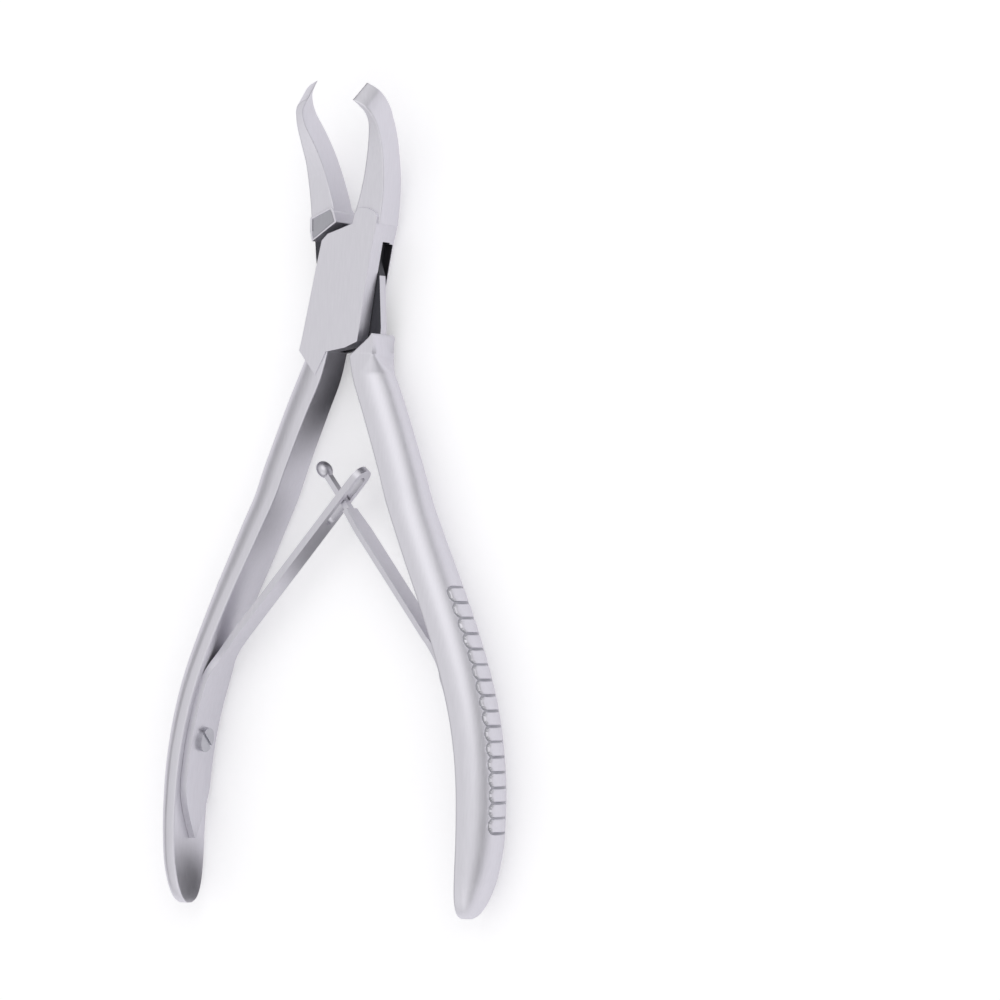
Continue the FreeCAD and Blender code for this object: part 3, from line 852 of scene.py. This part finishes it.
def pale_table():
    """White to the camera, with the tool's soft shadow; to the steel it is a painted reflection, greyer and
    with painted dark patches.
    """
    material = bpy.data.materials.new("pale_table")
    material.use_nodes = True
    nodes = material.node_tree.nodes
    links = material.node_tree.links
    shader = nodes["Principled BSDF"]
    shader.inputs["Roughness"].default_value = TABLE_ROUGHNESS
    shader.inputs["Specular IOR Level"].default_value = 0.0
    place = nodes.new("ShaderNodeTexCoord")
    cloud = nodes.new("ShaderNodeTexNoise")
    cloud.inputs["Scale"].default_value = CLOUD_SCALE
    links.new(place.outputs["Object"], cloud.inputs["Vector"])
    pale = nodes.new("ShaderNodeMix")
    pale.data_type = "RGBA"
    pale.inputs["A"].default_value = TABLE_GREY
    pale.inputs["B"].default_value = TABLE_WHITE
    links.new(cloud.outputs["Fac"], pale.inputs["Factor"])
    seen = nodes.new("ShaderNodeLightPath")
    clear = clear_of_painted_patches(nodes, links, place)
    # Painted reflection: the steel sees a greyer table with painted dark patches
    painted_reflection_colour = nodes.new("ShaderNodeMix")
    painted_reflection_colour.data_type = "RGBA"
    painted_reflection_colour.inputs["A"].default_value = PAINTED_PATCH_COLOUR
    painted_reflection_colour.inputs["B"].default_value = TABLE_PAINTED_REFLECTION
    links.new(clear.outputs[0], painted_reflection_colour.inputs["Factor"])
    colour = nodes.new("ShaderNodeMix")
    colour.data_type = "RGBA"
    links.new(painted_reflection_colour.outputs["Result"], colour.inputs["A"])
    links.new(seen.outputs["Is Camera Ray"], colour.inputs["Factor"])
    links.new(pale.outputs["Result"], colour.inputs["B"])
    links.new(colour.outputs["Result"], shader.inputs["Base Color"])
    shader.inputs["Emission Color"].default_value = (1.0, 1.0, 1.0, 1.0)
    # The glow whitens the table for the camera, and for the steel it is painted light clear of the patches
    painted_reflection_glow = nodes.new("ShaderNodeMath")
    painted_reflection_glow.operation = "MULTIPLY"
    links.new(seen.outputs["Is Glossy Ray"], painted_reflection_glow.inputs[0])
    links.new(clear.outputs[0], painted_reflection_glow.inputs[1])
    either = nodes.new("ShaderNodeMath")
    links.new(seen.outputs["Is Camera Ray"], either.inputs[0])
    links.new(painted_reflection_glow.outputs["Value"], either.inputs[1])
    glow = nodes.new("ShaderNodeMath")
    glow.operation = "MULTIPLY"
    glow.inputs[1].default_value = TABLE_GLOW_AND_PAINTED_SHEEN
    links.new(either.outputs["Value"], glow.inputs[0])
    links.new(glow.outputs["Value"], shader.inputs["Emission Strength"])
    return material


def add_floor():
    """The pale table that the tool lies on."""
    bpy.ops.mesh.primitive_plane_add(size=TABLE_SIZE, location=(0.0, 0.0, -TABLE_DROP))
    floor = bpy.context.object
    floor.name = "table"
    dress(floor, pale_table())


def add_area(name, place, aim, size, power):
    """A flat lamp turned toward its aim."""
    data = bpy.data.lights.new(name, "AREA")
    data.shape = "RECTANGLE"
    data.size = size[0]
    data.size_y = size[1]
    data.energy = power
    lamp = bpy.data.objects.new(name, data)
    lamp.location = place
    lamp.rotation_euler = (Vector(aim) - Vector(place)).to_track_quat("-Z", "Y").to_euler()
    bpy.context.collection.objects.link(lamp)


def add_lights():
    """A studio sky, bright overhead and toward the handles' end, dark round the horizon."""
    world = bpy.data.worlds.new("studio")
    bpy.context.scene.world = world
    world.use_nodes = True
    nodes = world.node_tree.nodes
    links = world.node_tree.links
    back = nodes["Background"]
    back.inputs["Color"].default_value = SKY_COLOUR
    way = nodes.new("ShaderNodeTexCoord")
    split = nodes.new("ShaderNodeSeparateXYZ")
    links.new(way.outputs["Generated"], split.inputs["Vector"])
    high = nodes.new("ShaderNodeMapRange")
    high.interpolation_type = "SMOOTHSTEP"
    high.inputs["From Min"].default_value = 0.0
    high.inputs["From Max"].default_value = SKY_OVERHEAD_FROM
    high.inputs["To Min"].default_value = SKY_HORIZON
    high.inputs["To Max"].default_value = SKY_OVERHEAD
    links.new(split.outputs["Z"], high.inputs["Value"])
    near = nodes.new("ShaderNodeMapRange")
    near.interpolation_type = "SMOOTHSTEP"
    near.inputs["From Min"].default_value = SKY_HANDLE_END_SPAN[0]
    near.inputs["From Max"].default_value = SKY_HANDLE_END_SPAN[1]
    near.inputs["To Max"].default_value = SKY_HANDLE_END
    links.new(split.outputs["Y"], near.inputs["Value"])
    both = nodes.new("ShaderNodeMath")
    links.new(high.outputs["Result"], both.inputs[0])
    links.new(near.outputs["Result"], both.inputs[1])
    links.new(both.outputs["Value"], back.inputs["Strength"])
    add_area("key", KEY_PLACE, (0.0, 0.0, 0.0), KEY_SIZE, KEY_POWER)


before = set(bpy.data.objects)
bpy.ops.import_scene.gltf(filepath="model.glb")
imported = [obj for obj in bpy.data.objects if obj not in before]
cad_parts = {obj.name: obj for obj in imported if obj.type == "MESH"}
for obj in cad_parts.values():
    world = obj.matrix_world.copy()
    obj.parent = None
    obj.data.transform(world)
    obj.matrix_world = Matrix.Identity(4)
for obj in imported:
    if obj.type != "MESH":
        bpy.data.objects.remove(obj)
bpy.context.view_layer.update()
satin = steel("satin_steel", *SATIN_STEEL)
spring = steel("spring_steel", *SPRING_STEEL)
shaded = steel("slot_painted_shade", *SLOT_PAINTED_SHADE)
screw = steel("screw_steel", *SCREW_STEEL)
sunk = steel("sunk_painted_shade", *SUNK_PAINTED_SHADE)

left_handle = handle("left_handle", LEFT_HANDLE_TOP, LEFT_DEPTH_COLUMN, LEFT_END_EXTRA, -1, LEFT_CREASE)
right_handle = handle("right_handle", SHOULDER_TOP, RIGHT_DEPTH_COLUMN, 0.0, 1, 0.0)
right_jaw = jaw("right_jaw", 1)
left_jaw = jaw("left_jaw", -1)
for piece in (left_handle, right_handle, right_jaw, left_jaw):
    dress(piece, satin)
# Painted shade at the bottom of the pad grooves
darken_grooves(left_handle, -1, sunk)
darken_grooves(right_handle, 1, sunk)
forgings = {
    "box_half": [box_lock(satin, shaded), left_handle, right_jaw],
    "tongue_half": [tongue(satin, shaded), collar(satin, sunk), right_handle, left_jaw],
}
for half, pieces in forgings.items():
    for piece in pieces:
        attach(piece, half)
        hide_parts(half)

leaves = [
    (slotted_leaf(), -1, SLOTTED_STANDOFF, "box_half", "slotted_spring_arm", "slotted_spring_foot"),
    (tongue_leaf(), 1, TONGUE_STANDOFF, "tongue_half", "tongue_spring_arm", "tongue_spring_foot"),
]
for piece, side_sign, standoff, clamped, free, foot in leaves:
    shade(piece, CRISP["leaf"])
    dress(piece, spring)
    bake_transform(piece)
    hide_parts(foot, free)
    bevel(piece, LEAF_BEVEL)

bead = paddle()
dress(bead, spring)
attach(bead, "tongue_spring_arm")
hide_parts("tongue_spring_arm")

for name in ("lock_pin", "slotted_spring_screw", "tongue_spring_screw"):
    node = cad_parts[name]
    dress(node, satin if name == "lock_pin" else screw)
    if name != "lock_pin":
        bevel(node, SCREW_BEVEL, SCREW_BEVEL_DEGREES)

add_floor()
add_lights()
add_camera()
bpy.context.scene.view_settings.view_transform = "Standard"
